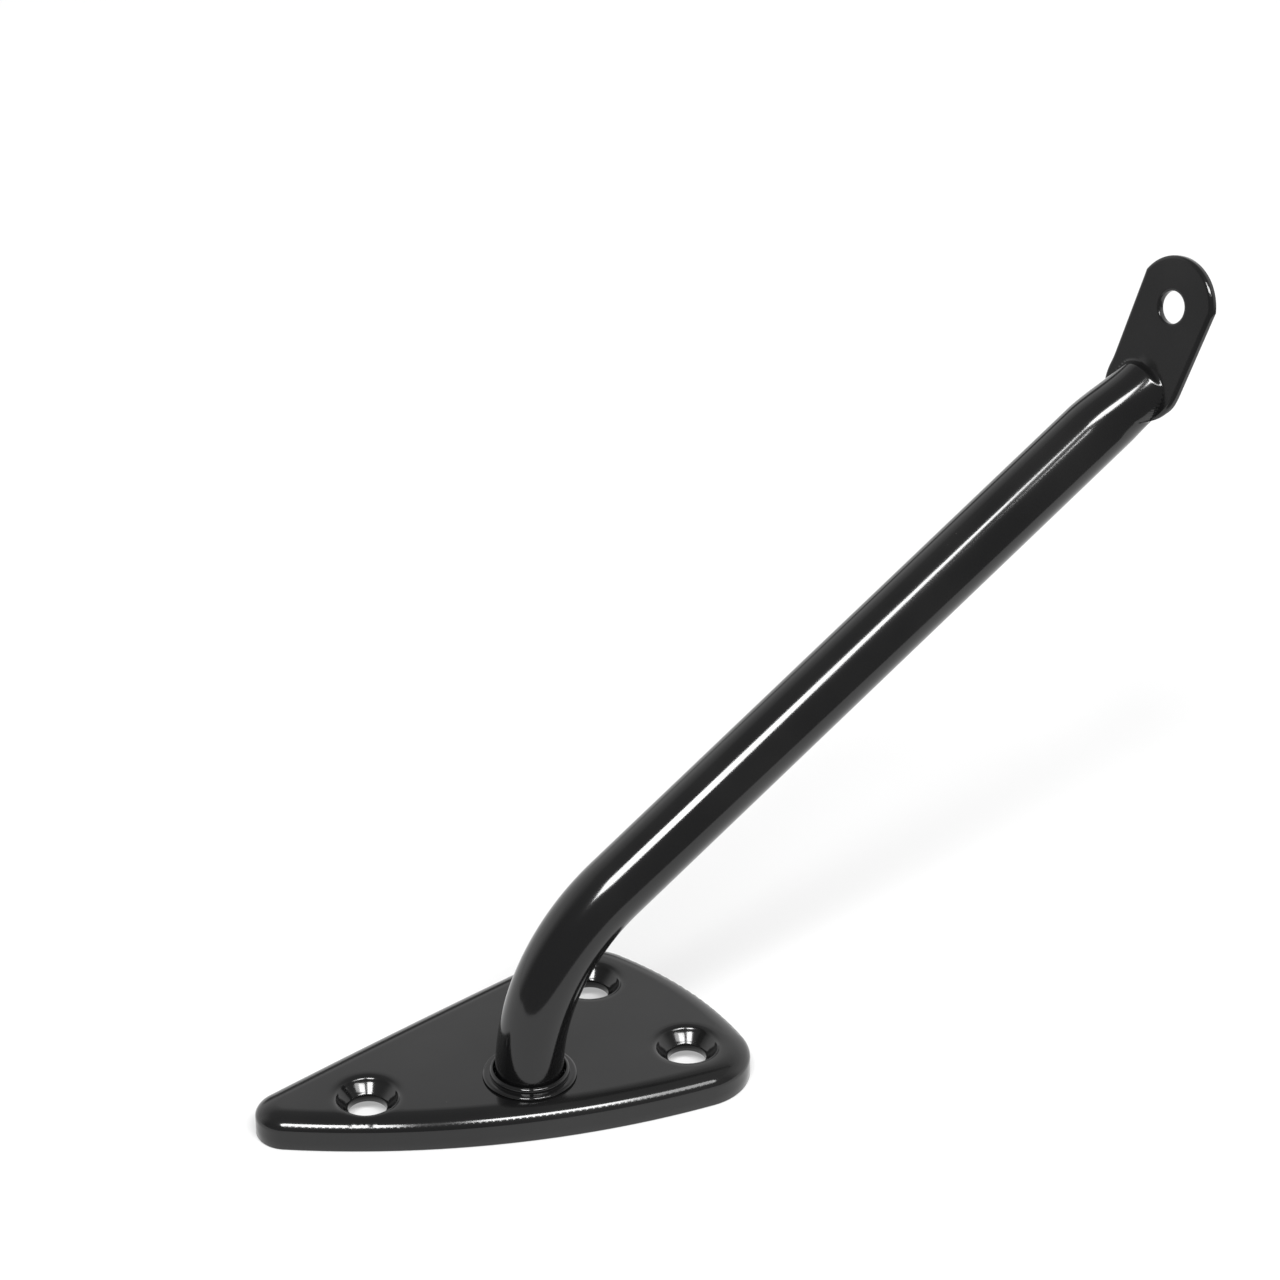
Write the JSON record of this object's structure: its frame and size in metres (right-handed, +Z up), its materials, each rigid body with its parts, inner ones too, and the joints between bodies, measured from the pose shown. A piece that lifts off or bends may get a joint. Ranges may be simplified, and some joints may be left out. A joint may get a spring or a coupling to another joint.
{
  "type": "roof bracket",
  "caption": "Rounded three-cornered screw-down foot with an upright tube root that bends into a long sloping arm ending in a flattened, punched tab.",
  "frame": {"origin": "on the mounting plane under the foot, on the axis of the tube's upright root", "axes": "+Z up, square to the mounting plane; +X along the foot from its narrow tip to its broad heel"},
  "size_m": [0.2371, 0.0689, 0.1759],
  "materials": {
    "foot_coat": "gloss black powder coat",
    "collar_coat": "gloss black powder coat",
    "arm_coat": "gloss black powder coat",
    "weld_coat": "weld bead under black powder coat"
  },
  "bodies": {
    "root": {"foot_pan": "foot_coat", "root_collar": "collar_coat", "arm_tube": "arm_coat", "root_weld": "weld_coat"}
  },
  "joints": []
}
